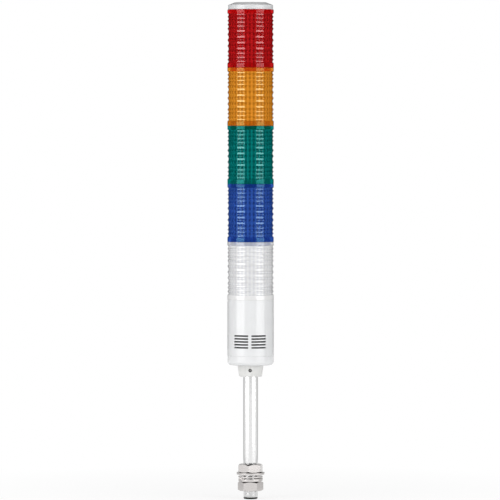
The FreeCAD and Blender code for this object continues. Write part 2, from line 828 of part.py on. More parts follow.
cap_radius = body_radius - size.cap_set_back
cap_spigot_inner = spigot_radius - size.cap_spigot_wall
post_radius = size.cap_post_outer / 2
cap = lathe("top_cap", [
    (zero, -size.joint_depth),
    (post_radius, -size.joint_depth),
    (post_radius, size.cap_ceiling),
    (cap_spigot_inner, size.cap_ceiling),
    (cap_spigot_inner, -size.spigot_length),
    (spigot_radius, -size.spigot_length),
    (spigot_radius, zero),
    (cap_radius, zero),
    (cap_radius, size.cap_side_height),
    (cap_radius - size.cap_slope_width, size.cap_height),
    (zero, size.cap_height),
], cap_base)
cap_boss = new_sketch(cap, "XY_Plane", "rod_boss", -size.cap_boss_length)
circle(cap_boss, zero, rod_place, size.cap_boss_outer / 2)
cap_boss_pad = feature(cap, "Pad", "rod_boss_pad", cap_boss,
                       size.cap_boss_length + size.cap_ceiling)
around(cap, "rod_bosses", [cap_boss_pad], RODS)
cap_hole = new_sketch(cap, "XY_Plane", "rod_socket", -size.cap_boss_length)
circle(cap_hole, zero, rod_place, size.rod_outer / 2 + size.slip_clearance)
cap_hole_cut = feature(cap, "Pocket", "rod_socket_cut", cap_hole,
                       size.cap_boss_length + size.rod_in_cap + size.slip_clearance, True)
around(cap, "rod_sockets", [cap_hole_cut], RODS)

rod_nut_top = seam + deck_under - size.circuit_board_thickness
rod_nut_base = rod_nut_top - size.rod_nut_height
rods = new_body("tie_rods", rod_nut_base - size.rod_below_nut)
rod = new_sketch(rods, "XY_Plane", "rod")
circle(rod, zero, rod_place, size.rod_outer / 2)
rod_pad = feature(rods, "Pad", "rod_pad", rod,
                  cap_base + size.rod_in_cap - rod_nut_base + size.rod_below_nut)
around(rods, "set", [rod_pad], RODS)

rod_nuts = new_body("tie_rod_nuts", rod_nut_base)
rod_nut = new_sketch(rod_nuts, "XY_Plane", "nut")
reach = size.rod_nut_flats / (2 * math.cos(math.pi / NUT_SIDES))
turns = [2 * math.pi * i / NUT_SIDES for i in range(NUT_SIDES)]
outline(rod_nut, [(reach * math.cos(turn), rod_place + reach * math.sin(turn)) for turn in turns])
circle(rod_nut, zero, rod_place, size.rod_outer / 2 + size.slip_clearance)
rod_nut_pad = feature(rod_nuts, "Pad", "nut_pad", rod_nut, size.rod_nut_height)
around(rod_nuts, "set", [rod_nut_pad], RODS)


# ---------------------------------------------------------------- checks and files

doc.recompute()
for item in doc.Objects:
    faults = {"Invalid", "Error"} & set(item.State)
    if faults:
        raise RuntimeError(f"{item.Name}: {sorted(faults)}")
for node in nodes:
    if node.Shape.isNull() or not node.Shape.isValid():
        raise RuntimeError(f"{node.Label} has no valid shape")

os.makedirs("parts", exist_ok=True)
for node in nodes:
    node.Shape.exportStep(os.path.join("parts", f"{node.Label}.step"))
    print(f"{node.Label}: {len(node.Shape.Solids)} solid, {node.Shape.Volume:.0f} mm3")
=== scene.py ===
"""Stack light: coloured lens tiers over a sounder, on a pole that is clamped through a panel.

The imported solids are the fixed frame. Lengths are written in millimetres and made metres by mm.
+Z is up the pole, and the front, with the sounder's slots and the set screw, looks to -Y.
"""

import math

import bmesh
import bpy
from mathutils import Matrix, Vector


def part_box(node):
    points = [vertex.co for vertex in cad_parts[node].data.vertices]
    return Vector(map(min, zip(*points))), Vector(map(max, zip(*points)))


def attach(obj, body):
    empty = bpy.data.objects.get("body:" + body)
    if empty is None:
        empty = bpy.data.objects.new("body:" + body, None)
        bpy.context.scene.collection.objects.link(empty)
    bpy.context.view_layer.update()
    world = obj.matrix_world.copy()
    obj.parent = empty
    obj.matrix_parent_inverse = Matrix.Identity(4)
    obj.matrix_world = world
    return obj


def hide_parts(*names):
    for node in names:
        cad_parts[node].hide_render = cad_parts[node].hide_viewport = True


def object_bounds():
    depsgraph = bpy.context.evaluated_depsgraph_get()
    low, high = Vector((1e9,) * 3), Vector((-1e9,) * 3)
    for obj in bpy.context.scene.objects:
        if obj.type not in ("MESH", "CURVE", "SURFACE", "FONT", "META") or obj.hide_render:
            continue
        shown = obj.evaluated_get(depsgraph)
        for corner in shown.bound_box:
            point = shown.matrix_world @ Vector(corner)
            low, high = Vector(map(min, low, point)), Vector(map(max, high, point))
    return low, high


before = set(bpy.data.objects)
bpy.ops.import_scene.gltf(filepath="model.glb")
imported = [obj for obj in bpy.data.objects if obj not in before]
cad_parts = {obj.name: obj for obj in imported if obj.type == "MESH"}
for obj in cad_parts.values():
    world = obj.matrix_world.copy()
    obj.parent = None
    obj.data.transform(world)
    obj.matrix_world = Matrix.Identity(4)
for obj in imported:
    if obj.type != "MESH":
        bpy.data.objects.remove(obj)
cad_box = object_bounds()
mm = 0.001


# ==== Pole ====
# Drawn steel tube, polished bright, that carries the light and brings its lead down. The lower
# end is turned down to a shoulder and threaded for the panel's nuts, with a lead-in chamfer.

FACETS = 144
SHARP_EDGE = math.radians(35)

WELD = 0.001
play = 0.05
deburred = 0.1
broken_edge = 0.2


def span(node):
    """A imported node's lowest and highest corners, in millimetres."""
    low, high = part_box(node)
    return low / mm, high / mm


def round_off(bm, geom, radius, segments, affect="VERTICES"):
    """Rounds corners or edges."""
    bmesh.ops.bevel(bm, geom=geom, offset=radius * mm, affect=affect, segments=segments,
                    profile=0.5, material=-1)


def half_section(bm, points):
    """Draws a closed half section as (radius, height); a third number rounds that corner."""
    corners = [bm.verts.new((point[0] * mm, 0, point[1] * mm)) for point in points]
    for i in range(len(corners)):
        bm.edges.new((corners[i - 1], corners[i]))
    for corner, point in zip(corners, points):
        if len(point) == 3:
            round_off(bm, [corner], point[2], segments=3)


def wind(bm, angle, steps, climb=0.0, joined=False):
    """Spins what is drawn round the pole's axis, climbing by so many millimetres each step."""
    bmesh.ops.spin(bm, geom=bm.verts[:] + bm.edges[:] + bm.faces[:], cent=(0, 0, 0),
                   axis=(0, 0, 1), dvec=(0, 0, climb * mm), angle=angle, steps=steps,
                   use_merge=joined)


def turned(points):
    """A turned piece: its half section spun once round the pole's axis."""
    bm = bmesh.new()
    half_section(bm, points)
    wind(bm, math.tau, FACETS, joined=True)
    bmesh.ops.remove_doubles(bm, verts=bm.verts, dist=WELD * mm)
    bmesh.ops.recalc_face_normals(bm, faces=bm.faces)
    return bm


def to_mesh(bm, name):
    """The finished mesh of what has been drawn."""
    mesh = bpy.data.meshes.new(name)
    bm.to_mesh(mesh)
    bm.free()
    return mesh


def put(name, data):
    """A new object in the scene, at its origin."""
    made = bpy.data.objects.new(name, data)
    bpy.context.scene.collection.objects.link(made)
    return made


def fit(bm, node, material, body="light"):
    """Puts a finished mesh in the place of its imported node, on that node's body."""
    mesh = to_mesh(bm, node)
    mesh.shade_smooth()
    mesh.set_sharp_from_angle(angle=SHARP_EDGE)
    mesh.materials.append(material)
    piece = put(f"{node}_finish", mesh)
    even = piece.modifiers.new("even_shading", "WEIGHTED_NORMAL")
    even.keep_sharp = True
    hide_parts(node)
    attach(piece, body)
    return piece


def colour(code):
    """A colour written as it looks, as #rrggbb, in the linear values that shaders take."""
    levels = [int(code[i:i + 2], 16) / 255 for i in (1, 3, 5)]
    return [v / 12.92 if v <= 0.04045 else ((v + 0.055) / 1.055) ** 2.4 for v in levels] + [1.0]


def input_of(node, name):
    """An input by its name, or by its place when the name is i and a number."""
    return node.inputs[int(name[1:])] if name[1:].isdigit() else node.inputs[name]


def add_node(group, kind, settings=None, **links):
    """A node with plain settings and the sockets that feed its inputs; i0 is its first input."""
    node = group.nodes.new(kind)
    for name, value in (settings or {}).items():
        if hasattr(node, name):
            setattr(node, name, value)
        else:
            input_of(node, name).default_value = value
    for name, source in links.items():
        group.links.new(source, input_of(node, name))
    return node


def reckon(group, operation, first, second):
    """The result of one sum on two inputs, each a socket or a plain number."""
    node = add_node(group, "ShaderNodeMath", {"operation": operation})
    for socket, value in zip(node.inputs, (first, second)):
        if isinstance(value, float):
            socket.default_value = value
        else:
            group.links.new(value, socket)
    return node.outputs[0]


def on_piece(group):
    """A place on the piece, its X, Y and Z, and its distance from the pole's axis."""
    place = add_node(group, "ShaderNodeTexCoord").outputs["Object"]
    axes = add_node(group, "ShaderNodeSeparateXYZ", i0=place).outputs
    flat = add_node(group, "ShaderNodeCombineXYZ", X=axes["X"], Y=axes["Y"])
    radius = add_node(group, "ShaderNodeVectorMath", {"operation": "LENGTH"}, i0=flat.outputs[0])
    return place, axes, radius.outputs["Value"]


def broad_noise(group, place, scale, distortion=0.0):
    """Soft patches of one plain size."""
    node = add_node(group, "ShaderNodeTexNoise",
                    {"Scale": scale, "Detail": 3.0, "Distortion": distortion}, Vector=place)
    return node.outputs["Fac"]


def fine_noise(group, place, scale):
    """Fine grain of the size that the material gives."""
    node = add_node(group, "ShaderNodeTexNoise", {"Detail": 2.0}, Vector=place, Scale=scale)
    return node.outputs["Fac"]


def darkened(group, value, color, shade):
    """A colour, darker by up to the shade's share where the value is high."""
    keep = reckon(group, "SUBTRACT", 1.0, reckon(group, "MULTIPLY", value, shade))
    mixed = add_node(group, "ShaderNodeVectorMath", {"operation": "SCALE"}, i0=color, i3=keep)
    return mixed.outputs[0]


def start_pattern(name, colours, numbers):
    """An empty node group that takes a piece's values and gives colour, roughness and height."""
    group = bpy.data.node_groups.new(name, "ShaderNodeTree")
    for way, kind, names in (("INPUT", "NodeSocketColor", colours),
                             ("INPUT", "NodeSocketFloat", numbers),
                             ("OUTPUT", "NodeSocketColor", ["Color"]),
                             ("OUTPUT", "NodeSocketFloat", ["Roughness", "Height"])):
        for socket in names:
            group.interface.new_socket(socket, in_out=way, socket_type=kind)
    return group, group.nodes.new("NodeGroupInput").outputs


def end_pattern(group, given, color, unevenness, relief):
    """Gives out a colour, a relief, and a roughness that wanders by the spread about its value."""
    offset = reckon(group, "SUBTRACT", unevenness, 0.5)
    roughness = reckon(group, "ADD", reckon(group, "MULTIPLY", offset, given["Spread"]),
                       given["Roughness"])
    add_node(group, "NodeGroupOutput", Color=color, Roughness=roughness, Height=relief)
    return group


def turned_metal():
    """Fine rings left by turning and polishing, under broad faint smears."""
    group, given = start_pattern("turned_metal", ["Color"],
                                 ["Shade", "Roughness", "Spread", "Rings"])
    place, axes, radius = on_piece(group)
    rings_at = add_node(group, "ShaderNodeCombineXYZ", X=radius, Z=axes["Z"]).outputs[0]
    smears = broad_noise(group, place, scale=90.0)
    return end_pattern(group, given, darkened(group, smears, given["Color"], given["Shade"]),
                       smears, fine_noise(group, rings_at, given["Rings"]))


def material(name, pattern, values, shader_values, relief):
    """A material whose colour, roughness and relief come from one surface pattern."""
    made = bpy.data.materials.new(name)
    made.use_nodes = True
    tree = made.node_tree
    shader = tree.nodes["Principled BSDF"]
    surface = add_node(tree, "ShaderNodeGroup", {"node_tree": pattern})
    for socket, value in values.items():
        surface.inputs[socket].default_value = value
    for socket, value in shader_values.items():
        shader.inputs[socket].default_value = value
    bump = add_node(tree, "ShaderNodeBump", {"Strength": 1.0, "Distance": relief * mm},
                    Height=surface.outputs["Height"])
    tree.links.new(surface.outputs["Color"], shader.inputs["Base Color"])
    tree.links.new(surface.outputs["Roughness"], shader.inputs["Roughness"])
    tree.links.new(bump.outputs["Normal"], shader.inputs["Normal"])
    return made


metal_pattern = turned_metal()


def metal(name, code, shade, roughness, spread, rings, relief):
    """Bare or plated metal, turned or polished."""
    return material(name, metal_pattern,
                    {"Color": colour(code), "Shade": shade, "Roughness": roughness,
                     "Spread": spread, "Rings": rings}, {"Metallic": 1.0}, relief)


polished_steel = metal("polished_steel", "#eeeeee", shade=0.05, roughness=0.16, spread=0.06,
                       rings=900.0, relief=0.001)

pole_low, pole_high = span("pole")
pole_bore = 7.0
thread_crest = 8.7
thread_depth = 0.61
thread_pitch = 1.0
thread_chamfer = 1.0
thread_steps = 36
thread_foot_width = 0.96
thread_crest_from, thread_crest_to = 0.40, 0.56
thread_root = thread_crest - thread_depth
thread_above_nut = 1.5
thread_top = span("upper_nut")[1].z + thread_above_nut
shoulder_chamfer = 0.2


def thread_ridge():
    """The thread: one ridge wound up the turned-down end, faded out at both of its ends."""
    bm = bmesh.new()
    foot = thread_root - play
    corners = [(foot, 0.0), (foot, thread_foot_width), (thread_crest, thread_crest_to),
               (thread_crest, thread_crest_from)]
    bm.faces.new([bm.verts.new((r * mm, 0, (pole_low.z + z * thread_pitch) * mm))
                  for r, z in corners])
    turns = (thread_top - pole_low.z) / thread_pitch - 1
    steps = int(turns * thread_steps)
    wind(bm, math.tau * steps / thread_steps, steps, climb=thread_pitch / thread_steps)
    bmesh.ops.recalc_face_normals(bm, faces=bm.faces)
    for vert in bm.verts:
        above_end = vert.co.z / mm - pole_low.z
        below_shoulder = thread_top - vert.co.z / mm
        reach = vert.co.xy.length / mm
        limit = min(thread_crest - max(thread_chamfer - above_end, 0), thread_root + below_shoulder)
        if reach > limit:
            vert.co.xy *= limit / reach
    return to_mesh(bm, "thread_ridge")


pole = turned([
    (pole_bore, pole_low.z, broken_edge),
    (thread_crest - thread_chamfer, pole_low.z, deburred),
    (thread_root, pole_low.z + thread_depth),
    (thread_root, thread_top),
    (pole_high.x - shoulder_chamfer, thread_top),
    (pole_high.x, thread_top + shoulder_chamfer),
    (pole_high.x, pole_high.z),
    (pole_bore, pole_high.z),
])
pole.from_mesh(thread_ridge())
fit(pole, "pole", polished_steel)


# ==== Wire bush ====
# Black rubber bush pushed into the pole's lower end. Its flange covers the tube's cut edge and
# its bore lets the lead out without chafing.

def moulded():
    """Moulded surface: faint flow shading, an uneven gloss and a fine grain."""
    group, given = start_pattern("moulded", ["Color"], ["Shade", "Roughness", "Spread", "Grain"])
    place = add_node(group, "ShaderNodeTexCoord").outputs["Object"]
    flow = broad_noise(group, place, scale=35.0, distortion=0.6)
    return end_pattern(group, given, darkened(group, flow, given["Color"], given["Shade"]),
                       flow, fine_noise(group, place, given["Grain"]))


moulded_pattern = moulded()


def moulding(name, code, shade, roughness, spread, grain, relief, **shader_values):
    """Plastic, rubber or a coated casting, its shader's other inputs written with underscores."""
    return material(name, moulded_pattern,
                    {"Color": colour(code), "Shade": shade, "Roughness": roughness,
                     "Spread": spread, "Grain": grain},
                    {socket.replace("_", " "): value for socket, value in shader_values.items()},
                    relief)


black_rubber = moulding("black_rubber", "#161616", shade=0.2, roughness=0.5, spread=0.15,
                        grain=2200.0, relief=0.01, Specular_IOR_Level=0.4)

eased_edge = 0.3
full_edge = 0.5
bush_low, bush_high = span("end_grommet")
bush_bore = 4.0
bush_plug = 6.95
bush_flange = 1.9
bush_brow = 1.2
fit(turned([
    (bush_bore, bush_low.z, eased_edge),
    (bush_high.x, bush_low.z, bush_brow),
    (bush_high.x, bush_low.z + bush_flange, deburred),
    (bush_plug, bush_low.z + bush_flange),
    (bush_plug, bush_high.z, full_edge),
    (bush_bore, bush_high.z, eased_edge),
]), "end_grommet", black_rubber)


# ==== Panel clamp ====
# Two nickel-plated nuts that pinch the panel between flat washers. The wide washer is the seat
# above the panel; below it sit a narrower one, a split lock washer and the lower nut.

nickel_plate = metal("nickel_plate", "#dcd8d6", shade=0.1, roughness=0.2, spread=0.08,
                     rings=1400.0, relief=0.003)

washer_play = 0.3
washer_bore = thread_crest + washer_play


def flat_washer(node, body):
    """A flat ring with its edges eased."""
    low, high = span(node)
    fit(turned([
        (washer_bore, low.z, eased_edge),
        (high.x, low.z, eased_edge),
        (high.x, high.z, eased_edge),
        (washer_bore, high.z, eased_edge),
    ]), node, nickel_plate, body)


flat_washer("flat_washer_upper", "light")
flat_washer("flat_washer_lower", "clamp_washers")

NEAR = 0.05
nut_flats = 27.0
nut_bore = thread_crest + play
nut_bore_edge = 0.6
nut_crown_inset = 0.4
nut_crown = nut_flats / 2 - nut_crown_inset
nut_chamfer = math.radians(30)
nut_corner = 0.35
nut_side = math.radians(60)
upper_nut_turn = math.radians(21)


def turn_round(bm, turn):
    """Turns what is drawn round the pole's axis."""
    bmesh.ops.rotate(bm, verts=bm.verts, cent=(0, 0, 0), matrix=Matrix.Rotation(turn, 3, "Z"))


def hex_nut(node, body, turn=0.0):
    """Spun as a disc, then pushed out to its six flats, the turned crown sloping to the corners."""
    low, high = span(node)
    reach = nut_flats / 2
    bm = turned([
        (nut_bore, low.z, nut_bore_edge),
        (nut_crown, low.z),
        (reach, low.z),
        (reach, high.z),
        (nut_crown, high.z),
        (nut_bore, high.z, nut_bore_edge),
    ])
    middle = (low.z + high.z) / 2
    rim = [vert for vert in bm.verts if vert.co.xy.length > (reach - NEAR) * mm]
    for vert in rim:
        off_flat = math.atan2(vert.co.y, vert.co.x) % nut_side - nut_side / 2
        stretch = 1 / math.cos(off_flat)
        fall = (reach * stretch - nut_crown) * math.tan(nut_chamfer)
        vert.co.xy *= stretch
        vert.co.z -= math.copysign(fall * mm, vert.co.z / mm - middle)
    at_corner = (reach / math.cos(nut_side / 2) - NEAR) * mm
    corners = [edge for edge in bm.edges
               if all(vert.co.xy.length > at_corner for vert in edge.verts)]
    round_off(bm, corners, nut_corner, segments=2, affect="EDGES")
    turn_round(bm, turn)
    fit(bm, node, nickel_plate, body)


hex_nut("upper_nut", "light", upper_nut_turn)
hex_nut("lower_nut", "clamp_nut")

lock_radius = 14.8
lock_section = 3.2
lock_turns = 0.97
lock_start = math.radians(175)
lock_steps = 100


def lock_washer(node, body):
    """A bar of almost square section wound once, its cut ends standing a little apart."""
    low, high = span(node)
    rise = high.z - low.z - lock_section
    bm = bmesh.new()
    corners = [bm.verts.new((radius * mm, 0, (low.z + height) * mm)) for radius, height in (
        (washer_bore, 0), (lock_radius, 0), (lock_radius, lock_section),
        (washer_bore, lock_section))]
    bm.faces.new(corners)
    round_off(bm, corners, eased_edge, segments=2)
    wind(bm, math.tau * lock_turns, lock_steps, climb=rise / lock_steps)
    bmesh.ops.recalc_face_normals(bm, faces=bm.faces)
    turn_round(bm, lock_start)
    fit(bm, node, nickel_plate, body)


lock_washer("spring_washer", "clamp_washers")


# ==== Stem adapter ====
# Light grey coated casting that takes the pole's top end and flares out to the bottom cover.
# A set screw in its front pins the pole, and a ring nut inside the cover holds the casting.

coated_casting = moulding("coated_casting", "#dededc", shade=0.06, roughness=0.32, spread=0.1,
                          grain=900.0, relief=0.02, Coat_Weight=0.2)
dark_steel = metal("dark_steel", "#8c8c8e", shade=0.2, roughness=0.35, spread=0.15,
                   rings=1600.0, relief=0.01)
black_oxide = metal("black_oxide", "#2c2c2e", shade=0.2, roughness=0.4, spread=0.1,
                    rings=1600.0, relief=0.01)

HOLE_SIDES = 20
HOLE_REACH = 3
FACING = 0.5


def score(bm, faces, point, normal):
    """Cuts faces along a plane, so that edges run there."""
    edges = list({edge for face in faces for edge in face.edges})
    verts = list({vert for face in faces for vert in face.verts})
    bmesh.ops.bisect_plane(bm, geom=verts + edges + faces, dist=WELD * mm, plane_co=point,
                           plane_no=normal)


def punch(bm, centre, axis, radius, depth):
    """Sinks a round blind hole into the faces that an axis meets from outside."""
    axis = Vector(axis).normalized()
    centre = Vector(centre) * mm
    across = axis.orthogonal().normalized()
    rims = []
    for i in range(HOLE_SIDES):
        way = Matrix.Rotation(math.tau * i / HOLE_SIDES, 3, axis) @ across
        rims.append((centre + way * radius * mm, way))
    reach = HOLE_REACH * radius * mm

    def is_near(face):
        offset = face.calc_center_median() - centre
        touches = any((vert.co - centre - axis * (vert.co - centre).dot(axis)).length < reach
                      for vert in face.verts)
        return face.normal.dot(axis) < -FACING and (touches or offset.length < reach)

    for point, way in rims:
        score(bm, [face for face in bm.faces if is_near(face)], point, way)
    inside = [face for face in bm.faces if is_near(face)
              and all((face.calc_center_median() - point).dot(way) < 0 for point, way in rims)]
    sunk = bmesh.ops.extrude_face_region(bm, geom=inside)["geom"]
    floor = [item for item in sunk if isinstance(item, bmesh.types.BMVert)]
    level = max((vert.co - centre).dot(axis) for vert in floor) + depth * mm
    for vert in floor:
        vert.co += axis * (level - (vert.co - centre).dot(axis))
    bmesh.ops.delete(bm, geom=[face for face in inside if face.is_valid], context="FACES")


adapter_low, adapter_high = span("stem_adapter")
cover_low, cover_high = span("bottom_cover")
adapter_bore = pole_high.x + play
adapter_foot = 13.9
adapter_foot_edge = 1.0
adapter_rim_edge = 0.25
adapter_neck = 12.0
set_screw_low, set_screw_high = span("set_screw")
adapter = turned([
    (adapter_bore, adapter_low.z, eased_edge),
    (adapter_foot, adapter_low.z, adapter_foot_edge),
    (adapter_high.x, cover_low.z, adapter_rim_edge),
    (adapter_neck, cover_low.z),
    (adapter_neck, adapter_high.z),
    (pole_bore, adapter_high.z),
    (pole_bore, pole_high.z),
    (adapter_bore, pole_high.z),
])
set_screw_middle = (set_screw_low.z + set_screw_high.z) / 2
set_screw_hole = set_screw_high.x + play
set_screw_depth = 1.6
punch(adapter, (0, -adapter_high.x, set_screw_middle), (0, 1, 0), set_screw_hole, set_screw_depth)
fit(adapter, "stem_adapter", coated_casting)


def finish_nodes(names, finish):
    """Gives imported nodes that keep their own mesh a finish."""
    for name in names:
        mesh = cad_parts[name].data
        mesh.materials.clear()
        mesh.materials.append(finish)


finish_nodes(["adapter_ring_nut"], dark_steel)
finish_nodes(["set_screw"], black_oxide)


# ==== Bottom cover ====
# Off-white moulded cap that closes the sounder housing from below, its corner well rounded.
# Three screws go up through deep recesses in it into the housing's bosses.

off_white = moulding("off_white", "#e4e5e6", shade=0.04, roughness=0.22, spread=0.08,
                     grain=1500.0, relief=0.006, IOR=1.5, Coat_Weight=0.3, Coat_Roughness=0.08)

soft_edge = 0.4
cover_height = 11.3
cover_corner = 4.0
cover_floor = 2.5
cover_hole = adapter_neck + 2 * play
cover_spigot_top = cover_high.z - 2 * play
spigot_outer = 25.7
spigot_inner = 23.6
seam = cover_low.z + cover_height
screw_turns = 90, 210, 330
screw_circle = 20.5
recess_radius = 2.9
recess_depth = 6.0
cover = turned([
    (cover_hole, cover_low.z),
    (cover_high.x, cover_low.z, cover_corner),
    (cover_high.x, seam, soft_edge),
    (spigot_outer, seam),
    (spigot_outer, cover_spigot_top, eased_edge),
    (spigot_inner, cover_spigot_top, eased_edge),
    (spigot_inner, cover_low.z + cover_floor),
    (cover_hole, cover_low.z + cover_floor),
])
for turn in screw_turns:
    spot = (screw_circle * math.cos(math.radians(turn)),
            screw_circle * math.sin(math.radians(turn)), cover_low.z)
    punch(cover, spot, (0, 0, 1), recess_radius, recess_depth)
fit(cover, "bottom_cover", off_white)
finish_nodes(["cover_screws"], dark_steel)


# ==== Sounder housing ====
# Off-white moulded tube closed by a deck at its top, where the first lens plugs in. Two columns
# of five slots in its front let the sound out; the boards and the sounder stand behind them.

housing_low, housing_high = span("sounder_housing")
wall_inner = 25.8
socket_radius = 25.6
socket_depth = 6.5
deck_thickness = 2.0
lip_height = 2.2
lip_step = 0.25
slot_width, slot_height = 17.0, 1.8
slot_across = 10.5
slot_pitch = 3.55
slots_height = 17.7
slots_middle = housing_low.z + slots_height
slot_rows = 5
deck_top = housing_high.z - socket_depth
housing = turned([
    (0.0, deck_top - deck_thickness),
    (wall_inner, deck_top - deck_thickness),
    (wall_inner, housing_low.z),
    (housing_high.x, housing_low.z, soft_edge),
    (housing_high.x, housing_high.z - lip_height, deburred),
    (housing_high.x - lip_step, housing_high.z - lip_height, deburred),
    (housing_high.x - lip_step, housing_high.z, eased_edge),
    (socket_radius, housing_high.z, broken_edge),
    (socket_radius, deck_top),
    (0.0, deck_top),
])

UPRIGHT = 0.1
TOUCH = 0.01
slot_windows = []
for row in range(slot_rows):
    height = slots_middle + slot_pitch * (row - (slot_rows - 1) / 2)
    for middle in (-slot_across, slot_across):
        slot_windows.append((middle - slot_width / 2, middle + slot_width / 2,
                             height - slot_height / 2, height + slot_height / 2))


def cut_front(bm, point, normal):
    """Scores the tube's upright front walls along a plane."""
    score(bm, [face for face in bm.faces if abs(face.normal.z) < UPRIGHT
               and face.calc_center_median().y < -housing_high.x / 2 * mm], point, normal)


def in_window(point, window):
    """Whether a point of the tube's front lies in a slot's window or on its edge."""
    left, right, low, high = [edge * mm for edge in window]
    slack = TOUCH * mm
    return (left - slack < point.x < right + slack and low - slack < point.z < high + slack
            and point.y < 0)


for across in sorted({edge for window in slot_windows for edge in window[:2]}):
    cut_front(housing, (across * mm, 0, 0), (1, 0, 0))
for up in sorted({edge for window in slot_windows for edge in window[2:]}):
    cut_front(housing, (0, 0, up * mm), (0, 0, 1))
for window in slot_windows:
    gap = [face for face in housing.faces if in_window(face.calc_center_median(), window)
           and all(in_window(vert.co, window) for vert in face.verts)]
    bmesh.ops.delete(housing, geom=gap, context="FACES")
    rims = [edge for edge in housing.edges if edge.is_boundary
            and all(in_window(vert.co, window) for vert in edge.verts)]
    bmesh.ops.bridge_loops(housing, edges=rims)
bmesh.ops.recalc_face_normals(housing, faces=housing.faces)
fit(housing, "sounder_housing", off_white)

circuit_board = moulding("circuit_board", "#122019", shade=0.2, roughness=0.4, spread=0.1,
                         grain=1800.0, relief=0.01, IOR=1.5)
black_case = moulding("black_case", "#0c0c0d", shade=0.2, roughness=0.4, spread=0.1,
                      grain=2000.0, relief=0.01, IOR=1.5)
green_case = moulding("green_case", "#2f7a4c", shade=0.15, roughness=0.4, spread=0.1,
                      grain=1500.0, relief=0.01, IOR=1.5)
finish_nodes(["control_board", "sounder_board"], circuit_board)
finish_nodes(["sounder"], black_case)
finish_nodes(["terminal_block"], green_case)


# ==== Tie rods and seals ====
# Three zinc-plated rods run from the cap to nuts under the deck and hold the tiers together.
# A flat rubber ring lies on the ledge of each joint.

zinc_plate = metal("zinc_plate", "#b4b6b8", shade=0.15, roughness=0.3, spread=0.1,
                   rings=1200.0, relief=0.005)
tiers = ["clear", "blue", "green", "amber", "red"]
finish_nodes(["tie_rods", "tie_rod_nuts"], zinc_plate)
finish_nodes([f"seal_{name}" for name in tiers + ["cap"]], black_rubber)


# ==== Tier insides ====
# In each tier a white moulded plate carries a dark circuit board folded into a square column,
# with four rows of LED packages, and a connector that reaches down to the tier below.

plate_white = moulding("plate_white", "#d8d8d6", shade=0.06, roughness=0.4, spread=0.1,
                       grain=1500.0, relief=0.01, IOR=1.5)
dark_board = moulding("dark_board", "#34383c", shade=0.12, roughness=0.45, spread=0.1,
                      grain=1800.0, relief=0.01, IOR=1.5)
led_resin = moulding("led_resin", "#d9d4b8", shade=0.1, roughness=0.25, spread=0.1,
                     grain=2500.0, relief=0.01, IOR=1.53)
for part, finish in (("tier_plate", plate_white), ("led_board", dark_board),
                     ("leds", led_resin), ("stack_connector", plate_white)):
    finish_nodes([f"{part}_{name}" for name in tiers], finish)


# ==== Lenses ====
# Clear or dyed transparent mouldings, ribbed outside and fluted inside so that they scatter the
# light. Each plugs into the one below with a spigot, and a plain collar marks either end.

# A thin wall's colour, a thick wall's, and the tint of what the surface mirrors. The thin wall's
# lighter colour is partly painted highlight along the valleys and the flute grooves.
lens_colours = {"clear": ("#ffffff", "#e9eaf0", "#ffffff"),
                "blue": ("#4474da", "#203c8c", "#90dcff"),
                "green": ("#0ca09c", "#005450", "#60fff8"),
                "amber": ("#ffa834", "#ac6410", "#fff890"),
                "red": ("#f4282c", "#8c080c", "#ffb0b4")}
spigot_length = 5.5
spigot_radius = 25.5
spigot_wall_inner = 23.6
lens_inner = 24.4
collar_top = 4.35
collar_bottom = 5.65
collar_edge = 0.4
rib_pitches = [1.0] * 3 + [1.463] * 4 + [1.0] * 4
rib_crest = 0.25
rib_flank = 0.2
rib_radius = 27.8
valley_radius = 26.6
rib_round = 0.5
rib_crown = 0.18
rib_peak_round = 0.5
valley_round = 0.4
valley_dye_share = 0.5
flutes = 36
flute_depth = 0.6
flute_start, flute_stop = 7.5, 8.5
flute_run_out = 0.8


def dye_depth_and_highlight():
    """Dyed plastic, deeper in colour where a rib and the ridge behind it make the wall thick, and
    lighter in the valleys and along the flute grooves, partly as painted highlight.
    """
    group, given = start_pattern("dye_depth_and_highlight", ["Thin", "Thick"], ["Roughness", "Spread", "Grain"])
    place, axes, radius = on_piece(group)
    wall = add_node(group, "ShaderNodeMapRange",
                    {"From Min": valley_radius * mm, "From Max": rib_radius * mm,
                     "To Min": valley_dye_share, "To Max": 1.0}, Value=radius).outputs[0]
    angle = reckon(group, "ARCTAN2", axes["Y"], axes["X"])
    turns = reckon(group, "MULTIPLY", angle, flutes / math.tau)
    ridge = add_node(group, "ShaderNodeMapRange",
                     {"From Min": 0.0, "From Max": 0.5, "To Min": 1.0, "To Max": 0.0},
                     Value=reckon(group, "PINGPONG", turns, 0.5)).outputs[0]
    # Partly painted highlight: the valleys and flute grooves take the lighter thin-wall colour, as
    # well as deeper dye where the wall is thick.
    mixed = add_node(group, "ShaderNodeMix", {"data_type": "RGBA"},
                     i0=reckon(group, "MULTIPLY", wall, ridge), i6=given["Thin"],
                     i7=given["Thick"])
    return end_pattern(group, given, mixed.outputs[2], broad_noise(group, place, scale=35.0),
                       fine_noise(group, place, given["Grain"]))


dye_and_highlight_pattern = dye_depth_and_highlight()

RIBBED, TOP_COLLAR, FOOT_COLLAR, SPIGOT = range(4)
lens_parts = "", "_top_collar", "_foot_collar", "_spigot"
# How much is seen through each of those parts.
lens_through = {"clear": (0.2, 0.7, 0.22, 0.2), "blue": (0.5, 0.9, 0.9, 0.1),
                "green": (0.5, 0.9, 0.9, 0.1), "amber": (0.2, 0.9, 0.9, 0.1),
                "red": (0.5, 0.9, 0.9, 0.1)}


